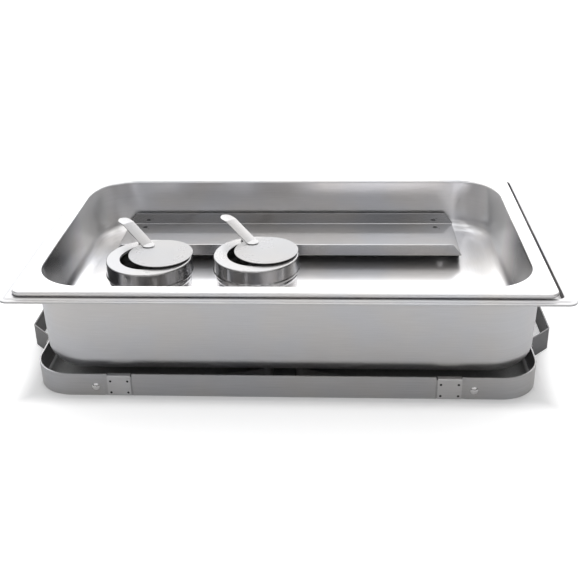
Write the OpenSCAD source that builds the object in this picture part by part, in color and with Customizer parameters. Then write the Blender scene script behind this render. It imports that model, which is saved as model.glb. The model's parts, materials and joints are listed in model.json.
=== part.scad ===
// Full size chafing dish set, packed for storage: folding band frame, water pan, food pan,
// burner shelf and two fuel holders with swinging dampers.
// Origin: centre of the frame ring, on the table. +X runs along the length, +Z is up.

/* [Frame] */
// Length of the frame ring over its end bands
ring_l = 516; // [515:1:520]
// Width of the frame ring over its side bands
ring_w = 316; // [315:1:318]
// Outside radius of the ring's corners in plan
ring_r = 40; // [34:1:44]
// Height of the band that the frame is bent from
band_h = 25; // [24:0.5:27]
// Thickness of the band
band_t = 1.5; // [1.4:0.1:1.6]
// How far each end handle stands out from the ring
handle_reach = 27; // [22:1:32]
// Straight length of an end handle
handle_grip = 112; // [90:1:120]
// Distance from the middle to the centre of a splice plate
splice_x = 167; // [160:1:170]
// Width of a splice plate
splice_w = 24; // [20:1:26]
// Distance from the middle to a leg pivot
pivot_x = 191.4; // [188:0.2:196]

/* [Legs] */
// Height of the leg strip on edge, which is also the height the water pan stands at
leg_h = 20; // [18:1:21]
// Thickness of the leg strip
leg_t = 2; // [1.6:0.1:2.2]
// Length of a leg from its pivot to its crossbar
leg_reach = 179; // [170:1:181]
// Straight run of a leg strip before it turns inwards
leg_straight = 107.4; // [95:1:115]
// Half the length of a leg's crossbar
crossbar_half = 134; // [128:1:140]

/* [Water pan] */
// Length over the water pan's rim
water_rim_l = 557; // [555:1:560]
// Width over the water pan's rim
water_rim_w = 341; // [340:1:345]
// Height of the water pan's flange above the table
water_flange_z = 114; // [113.5:0.1:114.2]
// How far the water pan sits off centre in the frame, along the length
water_shift = 2.5; // [2:0.1:3]

/* [Food pan] */
// Length over the food pan's rim
food_rim_l = 530; // [529:0.5:531]
// Width over the food pan's rim
food_rim_w = 325; // [324:0.5:326]
// Height of the food pan's rim above the table
food_rim_z = 120; // [119.8:0.1:120.2]
// Depth of the food pan
food_depth = 65; // [63:0.5:66]

/* [Burner shelf] */
// Length of the burner shelf
shelf_l = 412; // [400:1:416]
// Width of the burner shelf
shelf_w = 97; // [95:0.5:97]
// Height of the shelf's long flanges above its floor
shelf_flange = 13.5; // [11:0.5:15]
// Height of the shelf's floor above the food pan's floor
shelf_rise = 10; // [8:0.5:11]

/* [Fuel holders] */
// Outside radius of a fuel cup
cup_r = 43.5; // [43:0.1:43.8]
// Height of a fuel holder with its cap on
holder_h = 59.9; // [58:0.1:60]
// Radius of the flame opening in a cap
flame_r = 30.5; // [29.5:0.1:31]
// Radius of a damper disc
damper_r = 34; // [33.5:0.1:34.5]
// Width of a damper handle
lever_w = 13.5; // [11:0.5:14]
// Slope of a damper handle
lever_slope = 26.5; // [24:0.5:29]
// Degrees that the left damper is swung open
left_open = 18.6; // [12:0.2:30]
// Degrees that the right damper is swung open
right_open = 16.2; // [12:0.2:30]

/* [Hidden] */

$fn = 96;
// Points along each bend that is drawn as a polygon
bend_steps = 7;
// Gap left between pieces that rest on each other
rest_gap = 0.1;

steel_pan = [0.78, 0.78, 0.79];
steel_band = [0.56, 0.56, 0.57];
steel_cap = [0.85, 0.85, 0.86];
black_fibre = [0.08, 0.08, 0.08];

// Frame: the ends of the bands step down into tongues behind the splice plates
rail_face = ring_w / 2;
tongue_l = 8;
tongue_t = 0.9;
tongue_top = 21.5;
splice_t = 1;
splice_proud = 0.4;
splice_bottom = 0.4;
splice_top = 23.2;
splice_fold = 6;
splice_gap = 0.8;
weld_inset = 3.2;
weld_r = 1.2;
weld_deep = 0.7;
handle_foot = 14;

// Leg pivots
pivot_z = leg_h / 2;
pin_r = 2.5;
pin_clear = 0.05;
pin_head_r = 4.5;
pin_head_h = 2.2;
pin_tail_r = 4;
pin_tail_t = 1;
leg_gap = 0.2;
leg_face = rail_face - band_t - leg_gap;
leg_tip = pivot_x - leg_reach;
leg_knee = pivot_x - leg_straight;

// Water pan
pan_t = 0.8;
water_base = leg_h + rest_gap;
water_back = 1.5;
water_half_l = 253;
water_half_w = 150.5;
water_corner = 50;
water_fillet = 20;
water_draft = 2.5;
water_ledge_z = 107.5;
water_rim_band = 11.6;
water_rim_r = 10;
water_opening_r = 6;
ledge_lap = 2;
rim_turn = 1.6;
rim_flat_in = 9;
rim_step_in = 7;
rim_lip_in = 3.5;
rim_step = 0.8;
water_lip_z = 112;

// Food pan
food_floor = food_rim_z - food_depth;
food_back = 2;
food_half_l = 249.5;
food_half_w = 147;
food_corner = 52;
food_draft = 3;
food_fillet = 16;
food_rim_r = 10;
food_roll = 3.5;
food_bead_r = 2.9;
food_bead_curl = 3.3;
food_rim_in = 5;
food_bead_z = water_flange_z + rest_gap;

// Burner shelf
shelf_t = 1;
shelf_x = -6;
shelf_rear = 141.4;
shelf_y = shelf_rear - shelf_w / 2;
shelf_bend = 2;
shelf_floor = food_floor + shelf_rise;
shelf_mitre = 10;
shelf_hole_r = 3;
shelf_hole_in = 22.7;
shelf_hole_side = 13;
lip_mitre = 18;

// Fuel holders
holder_left = [-144.2, -68];
holder_right = [-31.1, -58.9];
holder_base = food_floor + rest_gap;
cap_z = holder_base + holder_h;
sheet_t = 0.8;
cup_t = 0.7;
cap_r = 45.1;
cap_flare = 0.8;
cap_skirt = 17.5;
pivot_reach = 37.5;
disc_reach = 40;
pivot_turn_left = 110;
pivot_turn_right = 112;
damper_gap = 1.8;
damper_z = cap_z + damper_gap;
disc_t = 1;
ear_r = 5.5;
stud_r = 1.5;
stud_head_r = 4;
stud_head_h = 1.1;
lever_t = 1;
lever_root = 18.5;
lever_skew = 10;
lever_flat = 8;
lever_rise_run = 32.4;
lever_tip_run = 13;
lever_tip_slope = 8;

// ---- Bent sheet and band shapes ----

function unit(v) = v / norm(v);
function left_normal(a, b) = let (d = unit(b - a)) [-d[1], d[0]];

// Points of the bend of radius r at b, on the way from a to c
function bend(a, b, c, r) =
    r == 0 ? [b] :
    let (u = unit(a - b),
         v = unit(c - b),
         half = acos(u * v) / 2,
         hub = b + unit(u + v) * r / sin(half),
         start = b + u * r / tan(half) - hub,
         turn = sign(cross(b - a, c - b)) * (180 - 2 * half),
         a0 = atan2(start[1], start[0]))
    [for (i = [0 : bend_steps]) let (t = a0 + turn * i / bend_steps) hub + r * [cos(t), sin(t)]];

// Turns corners given as [x, y, bend radius] into a line of points
function bent_line(corners) =
    let (n = len(corners), p = [for (c = corners) [c[0], c[1]]])
    [for (i = [0 : n - 1])
        each (i == 0 || i == n - 1) ? [p[i]] : bend(p[i - 1], p[i], p[i + 1], corners[i][2])];

// The same line moved sideways by t, to its left when t is positive
function beside(line, t) =
    let (n = len(line))
    [for (i = [0 : n - 1])
        let (before = left_normal(line[max(i - 1, 0)], line[max(i, 1)]),
             after = left_normal(line[min(i, n - 2)], line[min(i + 1, n - 1)]))
        line[i] + t * (before + after) / (1 + before * after)];

// Cross-section of a sheet of thickness t that follows a line of corners
module sheet(corners, t) {
    line = bent_line(corners);
    back = beside(line, t);
    polygon(concat(line, [for (i = [len(back) - 1 : -1 : 0]) back[i]]));
}

// Sweeps a section, drawn as radius and height from the corner's own axis, round a rounded rectangle
module tray_sweep(half_x, half_y) {
    for (k = [0 : 3]) {
        out = k % 2 == 0 ? half_x : half_y;
        along = k % 2 == 0 ? half_y : half_x;
        rotate([0, 0, 90 * k])
            translate([out, along, 0]) {
                rotate([90, 0, 0]) linear_extrude(2 * along) children();
                rotate_extrude(angle = 90) children();
            }
    }
}

// Rounded rectangle in plan, given by its half sizes and corner radius
module plan(half_x, half_y, r) {
    square([2 * half_x, 2 * (half_y - r)], center = true);
    square([2 * (half_x - r), 2 * half_y], center = true);
    for (x = [-1, 1], y = [-1, 1])
        translate([x * (half_x - r), y * (half_y - r)]) circle(r);
}

// ---- Frame ----

module hoop() {
    open_x = splice_x + splice_w / 2;
    half_l = ring_l / 2;
    linear_extrude(band_h)
        intersection() {
            difference() {
                plan(half_l, rail_face, ring_r);
                plan(half_l - band_t, rail_face - band_t, ring_r - band_t);
            }
            translate([open_x, -ring_w]) square([ring_l, 2 * ring_w]);
        }
    for (side = [0, 1])
        mirror([0, side, 0]) tongue(open_x - tongue_l);
}

// Thinned end of a band, which the splice plate is welded to
module tongue(x) {
    translate([x, -rail_face + band_t - tongue_t, 0]) cube([tongue_l, tongue_t, tongue_top]);
}

// Hoops and rails have round holes where the leg rivets pass
module pivot_holes() {
    for (x = [-1, 1], y = [-1, 1])
        translate([x * pivot_x, y * (rail_face + 1), pivot_z])
            rotate([y * 90, 0, 0]) cylinder(r = pin_r, h = band_t + 2);
}

module end_hoop_right() {
    color(steel_band) difference() {
        hoop();
        pivot_holes();
    }
}

module end_hoop_left() {
    color(steel_band) difference() {
        mirror([1, 0, 0]) hoop();
        pivot_holes();
    }
}

module side_rail_front() {
    half = splice_x - splice_w / 2 - splice_gap;
    color(steel_band) {
        translate([-half, -rail_face, 0]) cube([2 * half, band_t, band_h]);
        tongue(half);
        tongue(-half - tongue_l);
    }
}

module side_rail_rear() {
    mirror([0, 1, 0]) side_rail_front();
}

// Splice plate: a folded clip over the joint between a hoop and a rail, with four weld marks
module splice_plate_front_right() {
    face = -rail_face - splice_proud;
    color(steel_band)
        translate([splice_x, 0, 0])
            difference() {
                rotate([90, 0, -90]) translate([0, 0, -splice_w / 2]) linear_extrude(splice_w)
                    sheet([[-face, splice_bottom, 0], [-face, splice_top, 1.6],
                           [-face - splice_fold, splice_top, 0]], splice_t);
                for (x = [-1, 1], z = [splice_bottom + weld_inset, splice_top - 2 * weld_inset])
                    translate([x * (splice_w / 2 - weld_inset), face - 1, z])
                        rotate([-90, 0, 0]) cylinder(r = weld_r, h = 1 + weld_deep);
            }
}

module splice_plate_front_left() {
    mirror([1, 0, 0]) splice_plate_front_right();
}

module splice_plate_rear_right() {
    mirror([0, 1, 0]) splice_plate_front_right();
}

module splice_plate_rear_left() {
    mirror([1, 0, 0]) splice_plate_rear_right();
}

// End handle: a band bent to a shallow trapezium and welded to the ring by its two feet
module end_handle_right() {
    foot_x = ring_l / 2 + band_t;
    tip_x = ring_l / 2 + handle_reach;
    half = handle_grip / 2;
    knee = half + handle_reach - band_t;
    color(steel_band)
        linear_extrude(band_h)
            sheet([[foot_x, -knee - handle_foot, 0], [foot_x, -knee, 3], [tip_x, -half, 6],
                   [tip_x, half, 6], [foot_x, knee, 3], [foot_x, knee + handle_foot, 0]], band_t);
}

module end_handle_left() {
    mirror([1, 0, 0]) end_handle_right();
}

// Domed rivet along +Y, with its head's seat at the origin and a clinched tail inside the leg
module leg_rivet() {
    grip = band_t + leg_gap + leg_t + rest_gap;
    dome_r = (pin_head_r * pin_head_r + pin_head_h * pin_head_h) / (2 * pin_head_h);
    rise = asin(pin_head_r / dome_r);
    rotate([-90, 0, 0])
        rotate_extrude()
            polygon(concat(
                [for (i = [0 : bend_steps])
                    let (t = rise * i / bend_steps)
                    [dome_r * sin(t), dome_r - pin_head_h - dome_r * cos(t)]],
                [[pin_r, 0], [pin_r, grip], [pin_tail_r, grip],
                 [pin_tail_r, grip + pin_tail_t / 2], [pin_r, grip + pin_tail_t],
                 [0, grip + pin_tail_t]]));
}

module leg_pivot_rivets() {
    color(steel_cap)
        for (x = [-1, 1], y = [0, 1])
            mirror([0, y, 0]) translate([x * pivot_x, -rail_face, pivot_z]) leg_rivet();
}

// ---- Legs ----

// One leg: a strip bent to a U, hung from two pivots, with its crossbar far from them
module leg_right() {
    color(steel_band) difference() {
        union() {
            linear_extrude(leg_h)
                sheet([[pivot_x, leg_face, 0], [leg_knee, leg_face, 15],
                       [leg_tip, crossbar_half, 12], [leg_tip, -crossbar_half, 12],
                       [leg_knee, -leg_face, 15], [pivot_x, -leg_face, 0]], leg_t);
            leg_ends(leg_h / 2);
        }
        leg_ends(pin_r + pin_clear, 1);
    }
}

// Round ends of the strip about the pivots; wider by spare on both faces when used as a bore
module leg_ends(r, spare = 0) {
    for (y = [0, 1])
        mirror([0, y, 0])
            translate([pivot_x, leg_face + spare, pivot_z])
                rotate([90, 0, 0]) cylinder(r = r, h = leg_t + 2 * spare);
}

module leg_left() {
    mirror([1, 0, 0]) leg_right();
}

// ---- Pans ----

// Flat flange between an inner and an outer rounded rectangle
module flange(z, outer, inner) {
    translate([0, 0, z - pan_t])
        linear_extrude(pan_t)
            difference() {
                plan(outer[0], outer[1], outer[2]);
                plan(inner[0], inner[1], inner[2]);
            }
}

// Deep tray with a ledge under a raised rim; the food pan's beaded edges rest on the rim's long sides
module water_pan() {
    half_x = water_half_l - water_corner;
    half_y = water_half_w - water_corner;
    wall_top_r = water_corner + water_draft;
    ledge_in = wall_top_r + ledge_lap;
    rim_x = water_rim_l / 2;
    rim_y = water_rim_w / 2;
    open_x = rim_x - water_rim_band;
    open_y = rim_y - water_rim_band;
    open_r = water_opening_r;
    edge = water_rim_r;
    flat_top = water_flange_z;
    color(steel_pan)
        translate([water_shift, water_back, 0]) {
            translate([0, 0, water_base + pan_t / 2])
                cube([2 * half_x, 2 * half_y, pan_t], center = true);
            tray_sweep(half_x, half_y)
                sheet([[0, water_base, 0], [water_corner, water_base, water_fillet],
                       [wall_top_r, water_ledge_z - pan_t, 1], [ledge_in, water_ledge_z - pan_t, 0]],
                      pan_t);
            flange(water_ledge_z, [open_x - ledge_lap, open_y - ledge_lap, open_r - ledge_lap],
                   [half_x + ledge_in, half_y + ledge_in, ledge_in]);
            tray_sweep(open_x - open_r, open_y - open_r)
                sheet([[open_r - ledge_lap, water_ledge_z, 0], [open_r, water_ledge_z, 1],
                       [open_r, flat_top, 1.2], [open_r + rim_turn, flat_top, 0]], -pan_t);
            flange(flat_top, [rim_x - rim_flat_in, rim_y - rim_flat_in, edge - rim_flat_in],
                   [open_x + rim_turn, open_y + rim_turn, open_r + rim_turn]);
            tray_sweep(rim_x - edge, rim_y - edge)
                sheet([[edge - rim_flat_in, flat_top, 0], [edge - rim_step_in, flat_top, 1],
                       [edge - rim_lip_in, flat_top - rim_step, 1], [edge, flat_top - rim_step, 0.7],
                       [edge, water_lip_z, 0]], -pan_t);
        }
}

module food_pan() {
    half_x = food_half_l - food_corner;
    half_y = food_half_w - food_corner;
    foot_r = food_corner - food_draft;
    flange_r = food_corner + 5;
    rim_x = food_rim_l / 2;
    rim_y = food_rim_w / 2;
    edge = food_rim_r;
    color(steel_pan) translate([0, food_back, 0]) {
        translate([0, 0, food_floor - pan_t / 2])
            cube([2 * half_x, 2 * half_y, pan_t], center = true);
        tray_sweep(half_x, half_y)
            sheet([[0, food_floor, 0], [foot_r, food_floor, food_fillet],
                   [food_corner, food_rim_z, food_roll], [flange_r, food_rim_z, 0]], -pan_t);
        flange(food_rim_z, [rim_x - food_rim_in, rim_y - food_rim_in, edge - food_rim_in],
               [half_x + flange_r, half_y + flange_r, flange_r]);
        tray_sweep(rim_x - edge, rim_y - edge)
            sheet([[edge - food_rim_in, food_rim_z, 0], [edge, food_rim_z, food_bead_r],
                   [edge, food_bead_z, food_bead_r], [edge - food_bead_curl, food_bead_z, 0]], -pan_t);
    }
}

// ---- Burner shelf ----

// Upright end lip below the floor, cut to a mitre that runs in by run over its height
module end_lip(length, run, height) {
    half = length / 2;
    rotate([90, 0, 0]) linear_extrude(shelf_t)
        polygon([[-half, 0], [half, 0], [half - run, height], [-half + run, height]]);
}

// What the mitre takes off one end of both long flanges
module mitre_cut() {
    top = shelf_flange + 1;
    run = shelf_mitre * top / (shelf_flange - shelf_bend);
    rotate([90, 0, 0]) translate([0, 0, -shelf_w]) linear_extrude(2 * shelf_w)
        polygon([[0, shelf_bend], [1, shelf_bend], [1, top], [-run, top]]);
}

module burner_shelf() {
    half = shelf_l / 2;
    side = shelf_w / 2;
    color(steel_band)
        translate([shelf_x, shelf_y, shelf_floor - shelf_t])
            difference() {
                union() {
                    rotate([90, 0, 90]) translate([0, 0, -half]) linear_extrude(shelf_l)
                        sheet([[-side, shelf_flange + shelf_t, 0], [-side, 0, shelf_bend],
                               [side, 0, shelf_bend], [side, shelf_flange + shelf_t, 0]], shelf_t);
                    for (turn = [90, -90])
                        rotate([0, 0, turn]) translate([0, half, 0])
                            mirror([0, 0, 1])
                                end_lip(shelf_w - 2 * shelf_bend, lip_mitre,
                                        shelf_rise - shelf_t - rest_gap);
                }
                for (end = [0, 1])
                    mirror([end, 0, 0]) translate([half, 0, shelf_t]) mitre_cut();
                for (x = [-1, 1], y = [-1, 1])
                    translate([x * (half - shelf_hole_in), y * (side - shelf_hole_side), -1])
                        cylinder(r = shelf_hole_r, h = shelf_t + 2);
            }
}

// ---- Fuel holders ----

module fuel_cup(at) {
    top = holder_h - sheet_t - rest_gap;
    color(steel_cap)
        translate([at[0], at[1], holder_base])
            rotate_extrude()
                sheet([[0, 0, 0], [cup_r, 0, 3], [cup_r, top, 0]], cup_t);
}

// Cap: a flat ring with a flared skirt that ends in a bead, drilled for the damper's stud
module fuel_cap(at, turn) {
    edge = cap_r + cap_flare;
    low = cap_z - cap_skirt;
    color(steel_cap)
        translate([at[0], at[1], 0])
            difference() {
                rotate_extrude()
                    sheet([[flame_r, cap_z, 0], [cap_r, cap_z, 2], [edge - 0.3, low + 3, 1],
                           [edge + 0.5, low + 1.5, 1], [edge, low, 0]], -sheet_t);
                rotate([0, 0, turn]) translate([pivot_reach, 0, cap_z - 2])
                    cylinder(r = stud_r, h = 3);
            }
}

// Places children on a cap's damper pivot, with +X pointing away from the damper disc
module at_pivot(at, turn, open) {
    translate([at[0], at[1], 0])
        rotate([0, 0, turn]) translate([pivot_reach, 0, 0]) rotate([0, 0, open]) children();
}

module damper_washer(at, turn) {
    color(black_fibre)
        at_pivot(at, turn, 0)
            translate([0, 0, cap_z])
                difference() {
                    cylinder(r = stud_head_r + 1, h = damper_gap - 0.05);
                    translate([0, 0, -1]) cylinder(r = stud_r + 0.05, h = damper_gap + 2);
                }
}

module damper_rivet(at, turn) {
    low = cap_z - sheet_t;
    high = damper_z + disc_t + 0.05;
    color(steel_cap)
        at_pivot(at, turn, 0)
            rotate_extrude()
                polygon([[0, low - 1], [stud_r + 1, low - 1], [stud_r + 1.5, low - 0.5],
                         [stud_r + 1.5, low], [stud_r, low], [stud_r, high],
                         [stud_head_r, high], [stud_head_r, high + 0.5],
                         [stud_head_r - 1.2, high + stud_head_h], [0, high + stud_head_h]]);
}

module damper_disc(at, turn, open) {
    color(steel_cap)
        at_pivot(at, turn, open)
            translate([0, 0, damper_z])
                difference() {
                    union() {
                        translate([-disc_reach, 0, 0]) cylinder(r = damper_r, h = disc_t);
                        translate([-disc_reach, -ear_r, 0]) cube([disc_reach, 2 * ear_r, disc_t]);
                        cylinder(r = ear_r, h = disc_t);
                    }
                    translate([0, 0, -1]) cylinder(r = stud_r + 0.05, h = disc_t + 2);
                }
}

// Lever: a bent strip with round ends, welded flat to the disc and rising over the pivot
module damper_lever(at, turn, open) {
    bend_x = lever_flat;
    knee_x = bend_x + lever_rise_run;
    tip_x = knee_x + lever_tip_run;
    knee_z = lever_rise_run * tan(lever_slope);
    tip_z = knee_z + lever_tip_run * tan(lever_tip_slope);
    end_r = lever_w / 2;
    pip_x = bend_x + lever_rise_run * 0.72;
    color(steel_cap)
        at_pivot(at, turn, open)
            translate([lever_root - disc_reach, 0, damper_z + disc_t]) rotate([0, 0, lever_skew]) {
                intersection() {
                    rotate([90, 0, 0]) translate([0, 0, -lever_w]) linear_extrude(2 * lever_w)
                        sheet([[0, 0, 0], [bend_x, 0, 4], [knee_x, knee_z, 6], [tip_x, tip_z, 0]],
                              lever_t);
                    linear_extrude(tip_z + 5) {
                        translate([end_r, -end_r]) square([tip_x - lever_w, lever_w]);
                        for (x = [end_r, tip_x - end_r]) translate([x, 0]) circle(end_r);
                    }
                }
                translate([pip_x, 0, (pip_x - bend_x) * tan(lever_slope) + 0.5])
                    rotate([0, -lever_slope, 0]) cylinder(r = 1.5, h = 1.1);
            }
}

module fuel_cup_left() { fuel_cup(holder_left); }
module fuel_cap_left() { fuel_cap(holder_left, pivot_turn_left); }
module damper_washer_left() { damper_washer(holder_left, pivot_turn_left); }
module damper_rivet_left() { damper_rivet(holder_left, pivot_turn_left); }
module damper_disc_left() { damper_disc(holder_left, pivot_turn_left, left_open); }
module damper_lever_left() { damper_lever(holder_left, pivot_turn_left, left_open); }

module fuel_cup_right() { fuel_cup(holder_right); }
module fuel_cap_right() { fuel_cap(holder_right, pivot_turn_right); }
module damper_washer_right() { damper_washer(holder_right, pivot_turn_right); }
module damper_rivet_right() { damper_rivet(holder_right, pivot_turn_right); }
module damper_disc_right() { damper_disc(holder_right, pivot_turn_right, right_open); }
module damper_lever_right() { damper_lever(holder_right, pivot_turn_right, right_open); }

end_hoop_left();
end_hoop_right();
side_rail_front();
side_rail_rear();
splice_plate_front_left();
splice_plate_front_right();
splice_plate_rear_left();
splice_plate_rear_right();
end_handle_left();
end_handle_right();
leg_pivot_rivets();
leg_left();
leg_right();
water_pan();
food_pan();
burner_shelf();
fuel_cup_left();
fuel_cap_left();
damper_washer_left();
damper_rivet_left();
damper_disc_left();
damper_lever_left();
fuel_cup_right();
fuel_cap_right();
damper_washer_right();
damper_rivet_right();
damper_disc_right();
damper_lever_right();
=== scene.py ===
"""Chafing dish set packed for storage: sheet metal meshes, steel finishes, light and camera.

Every length is in metres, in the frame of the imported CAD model. Places come from the boxes of the CAD nodes.
A sheet metal piece is one skin of quads, which is thickened, rounded at its edges and shaded by modifiers.
"""

import json
import math

import bmesh
import bpy
from mathutils import Matrix, Vector, noise


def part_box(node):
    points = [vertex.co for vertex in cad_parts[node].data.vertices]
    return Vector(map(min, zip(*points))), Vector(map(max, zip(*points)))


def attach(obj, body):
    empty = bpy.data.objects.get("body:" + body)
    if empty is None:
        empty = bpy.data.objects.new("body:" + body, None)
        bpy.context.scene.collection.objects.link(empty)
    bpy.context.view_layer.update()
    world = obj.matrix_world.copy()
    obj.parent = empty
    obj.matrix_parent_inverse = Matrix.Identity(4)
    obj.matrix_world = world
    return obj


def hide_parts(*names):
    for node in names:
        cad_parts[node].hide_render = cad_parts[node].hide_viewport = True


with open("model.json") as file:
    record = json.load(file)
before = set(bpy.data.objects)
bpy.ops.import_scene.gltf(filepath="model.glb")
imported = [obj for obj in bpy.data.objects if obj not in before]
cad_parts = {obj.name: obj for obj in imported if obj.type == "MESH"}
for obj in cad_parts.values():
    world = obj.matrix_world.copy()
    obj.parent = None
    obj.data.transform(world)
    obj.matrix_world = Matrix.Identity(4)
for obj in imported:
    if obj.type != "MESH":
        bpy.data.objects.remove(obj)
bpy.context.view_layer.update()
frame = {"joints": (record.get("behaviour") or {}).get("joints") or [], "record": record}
record = frame["record"]

MM = 0.001

# Sheet and band stock
PAN_SHEET = 0.8 * MM
BAND_SHEET = 1.5 * MM
LEG_SHEET = 2 * MM
SHELF_SHEET = 1 * MM
PLATE_SHEET = 1 * MM
CAP_SHEET = 0.8 * MM
CUP_SHEET = 0.7 * MM
DISC_SHEET = 1 * MM

BODY_OF = {node: body for body, nodes in record["behaviour"]["bodies"].items() for node in nodes}
PIVOT_OF = {joint["name"]: Vector(joint["pos_m"]) for joint in frame["joints"] if "pos_m" in joint}


# ---- Lines and skins ----

def bend(before, corner, after, radius, steps):
    """Points of the bend at a corner, on the way from the point before to the point after."""
    if radius == 0:
        return [corner]
    u = (before - corner).normalized()
    v = (after - corner).normalized()
    half = u.angle(v) / 2
    hub = corner + (u + v).normalized() * radius / math.sin(half)
    start = corner + u * radius / math.tan(half) - hub
    turn = math.copysign(math.pi - 2 * half, (corner - before).cross(after - corner))
    return [hub + Matrix.Rotation(turn * i / steps, 2) @ start for i in range(steps + 1)]


def bent_line(corners, steps=8):
    """Turns corners, given as (x, y, bend radius), into a line of points with round bends."""
    points = [Vector(corner[:2]) for corner in corners]
    line = [points[0]]
    for i in range(1, len(points) - 1):
        line += bend(points[i - 1], points[i], points[i + 1], corners[i][2], steps)
    return line + [points[-1]]


def divided(line, longest):
    """The same line with its long stretches cut into even steps."""
    points = [line[0]]
    for start, end in zip(line, line[1:]):
        count = max(1, math.ceil((end - start).length / longest))
        points += [start.lerp(end, i / count) for i in range(1, count + 1)]
    return points


def rounded_rect(half_x, half_y, radius, sides=(26, 44), arc=18):
    """Points round a rounded rectangle, anticlockwise. Loops made with the same counts line up."""
    points = []
    for quarter in range(4):
        turn = Matrix.Rotation(math.radians(90 * quarter), 2)
        out, along = (half_x, half_y) if quarter % 2 == 0 else (half_y, half_x)
        count = sides[quarter % 2]
        for i in range(count):
            points.append(turn @ Vector((out, (2 * i / count - 1) * (along - radius))))
        for i in range(arc):
            angle = math.radians(90) * i / arc
            corner = Vector((out - radius, along - radius))
            points.append(turn @ (corner + radius * Vector((math.cos(angle), math.sin(angle)))))
    return points


def lifted(points, height):
    return [Vector((p.x, p.y, height)) for p in points]


def skin(bm, rows, closed=False):
    """Quads over rows of points. The grain runs along a row: texture u is the way along the row, v across it."""
    uv_layer = bm.loops.layers.uv.verify()
    count = len(rows[0])
    longest = max(rows, key=lambda row: sum((b - a).length for a, b in zip(row, row[1:])))
    along = [0]
    for a, b in zip(longest, longest[1:] + longest[:1]):
        along.append(along[-1] + (b - a).length)
    across = [0]
    for a, b in zip(rows, rows[1:]):
        across.append(across[-1] + (b[0] - a[0]).length)
    verts = [[bm.verts.new(p) for p in row] for row in rows]
    for i in range(len(rows) - 1):
        for j in range(count if closed else count - 1):
            k = (j + 1) % count
            face = bm.faces.new((verts[i][j], verts[i][k], verts[i + 1][k], verts[i + 1][j]))
            spots = ((along[j], across[i]), (along[j + 1], across[i]),
                     (along[j + 1], across[i + 1]), (along[j], across[i + 1]))
            for loop, spot in zip(face.loops, spots):
                loop[uv_layer].uv = spot


def lathe(bm, line, centre, steps=120):
    """Turns a line of (radius, height) points round an upright axis."""
    turns = [math.radians(360) * i / steps for i in range(steps)]
    skin(bm, [[Vector((centre.x + p[0] * math.cos(a), centre.y + p[0] * math.sin(a), p[1])) for a in turns]
              for p in line], closed=True)


def weld(bm, distance=1e-6):
    """Joins points that meet, and drops the faces that shrink away."""
    bmesh.ops.remove_doubles(bm, verts=bm.verts, dist=distance)
    bmesh.ops.dissolve_degenerate(bm, edges=bm.edges, dist=distance)


def ripple(bm, depth, pitch, seed):
    """Moves a sheet's points a little along their normals, as rolled sheet is never quite flat."""
    weld(bm)
    bm.normal_update()
    for vert in bm.verts:
        spot = vert.co / pitch + Vector((seed, 0, 0))
        vert.co += vert.normal * depth * noise.noise(spot)


def punch(bm, centre, radius, cuts=5):
    """Opens a round hole in the flat quad at a point, and gives the hole's rim as a loop of vertices."""
    face = min(bm.faces, key=lambda f: (f.calc_center_median() - centre).length)
    face.normal_update()
    normal = face.normal.copy()
    edges = list(face.edges)
    bmesh.ops.delete(bm, geom=[face], context="FACES_ONLY")
    made = bmesh.ops.subdivide_edges(bm, edges=edges, cuts=cuts)
    around = {v for e in edges for v in e.verts if e.is_valid}
    around |= {v for v in made["geom_inner"] if isinstance(v, bmesh.types.BMVert)}
    side = normal.orthogonal().normalized()
    up = normal.cross(side)
    angle_of = {v: math.atan2((v.co - centre).dot(up), (v.co - centre).dot(side)) for v in around}
    outer = sorted(around, key=angle_of.get)
    rim = [bm.verts.new(centre + radius * (side * math.cos(angle_of[v]) + up * math.sin(angle_of[v])))
           for v in outer]
    bridge(bm, outer, rim)
    return rim


def bridge(bm, outer, inner):
    for i in range(len(outer)):
        k = (i + 1) % len(outer)
        bm.faces.new((outer[i], outer[k], inner[k], inner[i]))


def dent(bm, centre, radius, depth, inwards, mark):
    """A round spot weld mark: a pit whose floor takes the second material."""
    rim = punch(bm, centre, radius)
    low = [bm.verts.new(centre + (v.co - centre) * 0.8 + inwards * depth) for v in rim]
    bridge(bm, rim, low)
    floor = bm.faces.new(low)
    for face in set(floor.edges[0].link_faces) | {f for e in floor.edges for f in e.link_faces}:
        face.material_index = mark


# ---- Pieces ----

def piece(name, bm, material, nodes, thickness=0, edge=0.25 * MM, flip=False, gauge=None):
    """Makes the object for a skin, thickens it behind its face, and puts it in its CAD node's place.
    gauge gives the share of the thickness at a point, where the sheet is thinned."""
    weld(bm)
    if not thickness:
        bmesh.ops.recalc_face_normals(bm, faces=bm.faces)
    elif flip:
        bmesh.ops.reverse_faces(bm, faces=bm.faces)
    mesh = bpy.data.meshes.new(name)
    bm.to_mesh(mesh)
    bm.free()
    mesh.shade_smooth()
    obj = bpy.data.objects.new(name, mesh)
    bpy.context.scene.collection.objects.link(obj)
    for each in material if isinstance(material, (list, tuple)) else [material]:
        mesh.materials.append(each)
    if thickness:
        shell = obj.modifiers.new("thickness", "SOLIDIFY")
        shell.thickness = thickness
        shell.offset = -1
        shell.use_even_offset = True
        shell.use_quality_normals = True
        if gauge:
            group = obj.vertex_groups.new(name="gauge")
            for vert in mesh.vertices:
                group.add([vert.index], gauge(vert.co), "REPLACE")
            shell.vertex_group = group.name
    if edge:
        rounding = obj.modifiers.new("edges", "BEVEL")
        rounding.width = edge
        rounding.segments = 2
        rounding.limit_method = "ANGLE"
        rounding.angle_limit = math.radians(50)
    normals = obj.modifiers.new("normals", "WEIGHTED_NORMAL")
    normals.weight = 60
    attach(obj, BODY_OF[nodes[0]])
    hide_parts(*nodes)
    return obj


def middle(node):
    low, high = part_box(node)
    return (low + high) / 2


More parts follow.
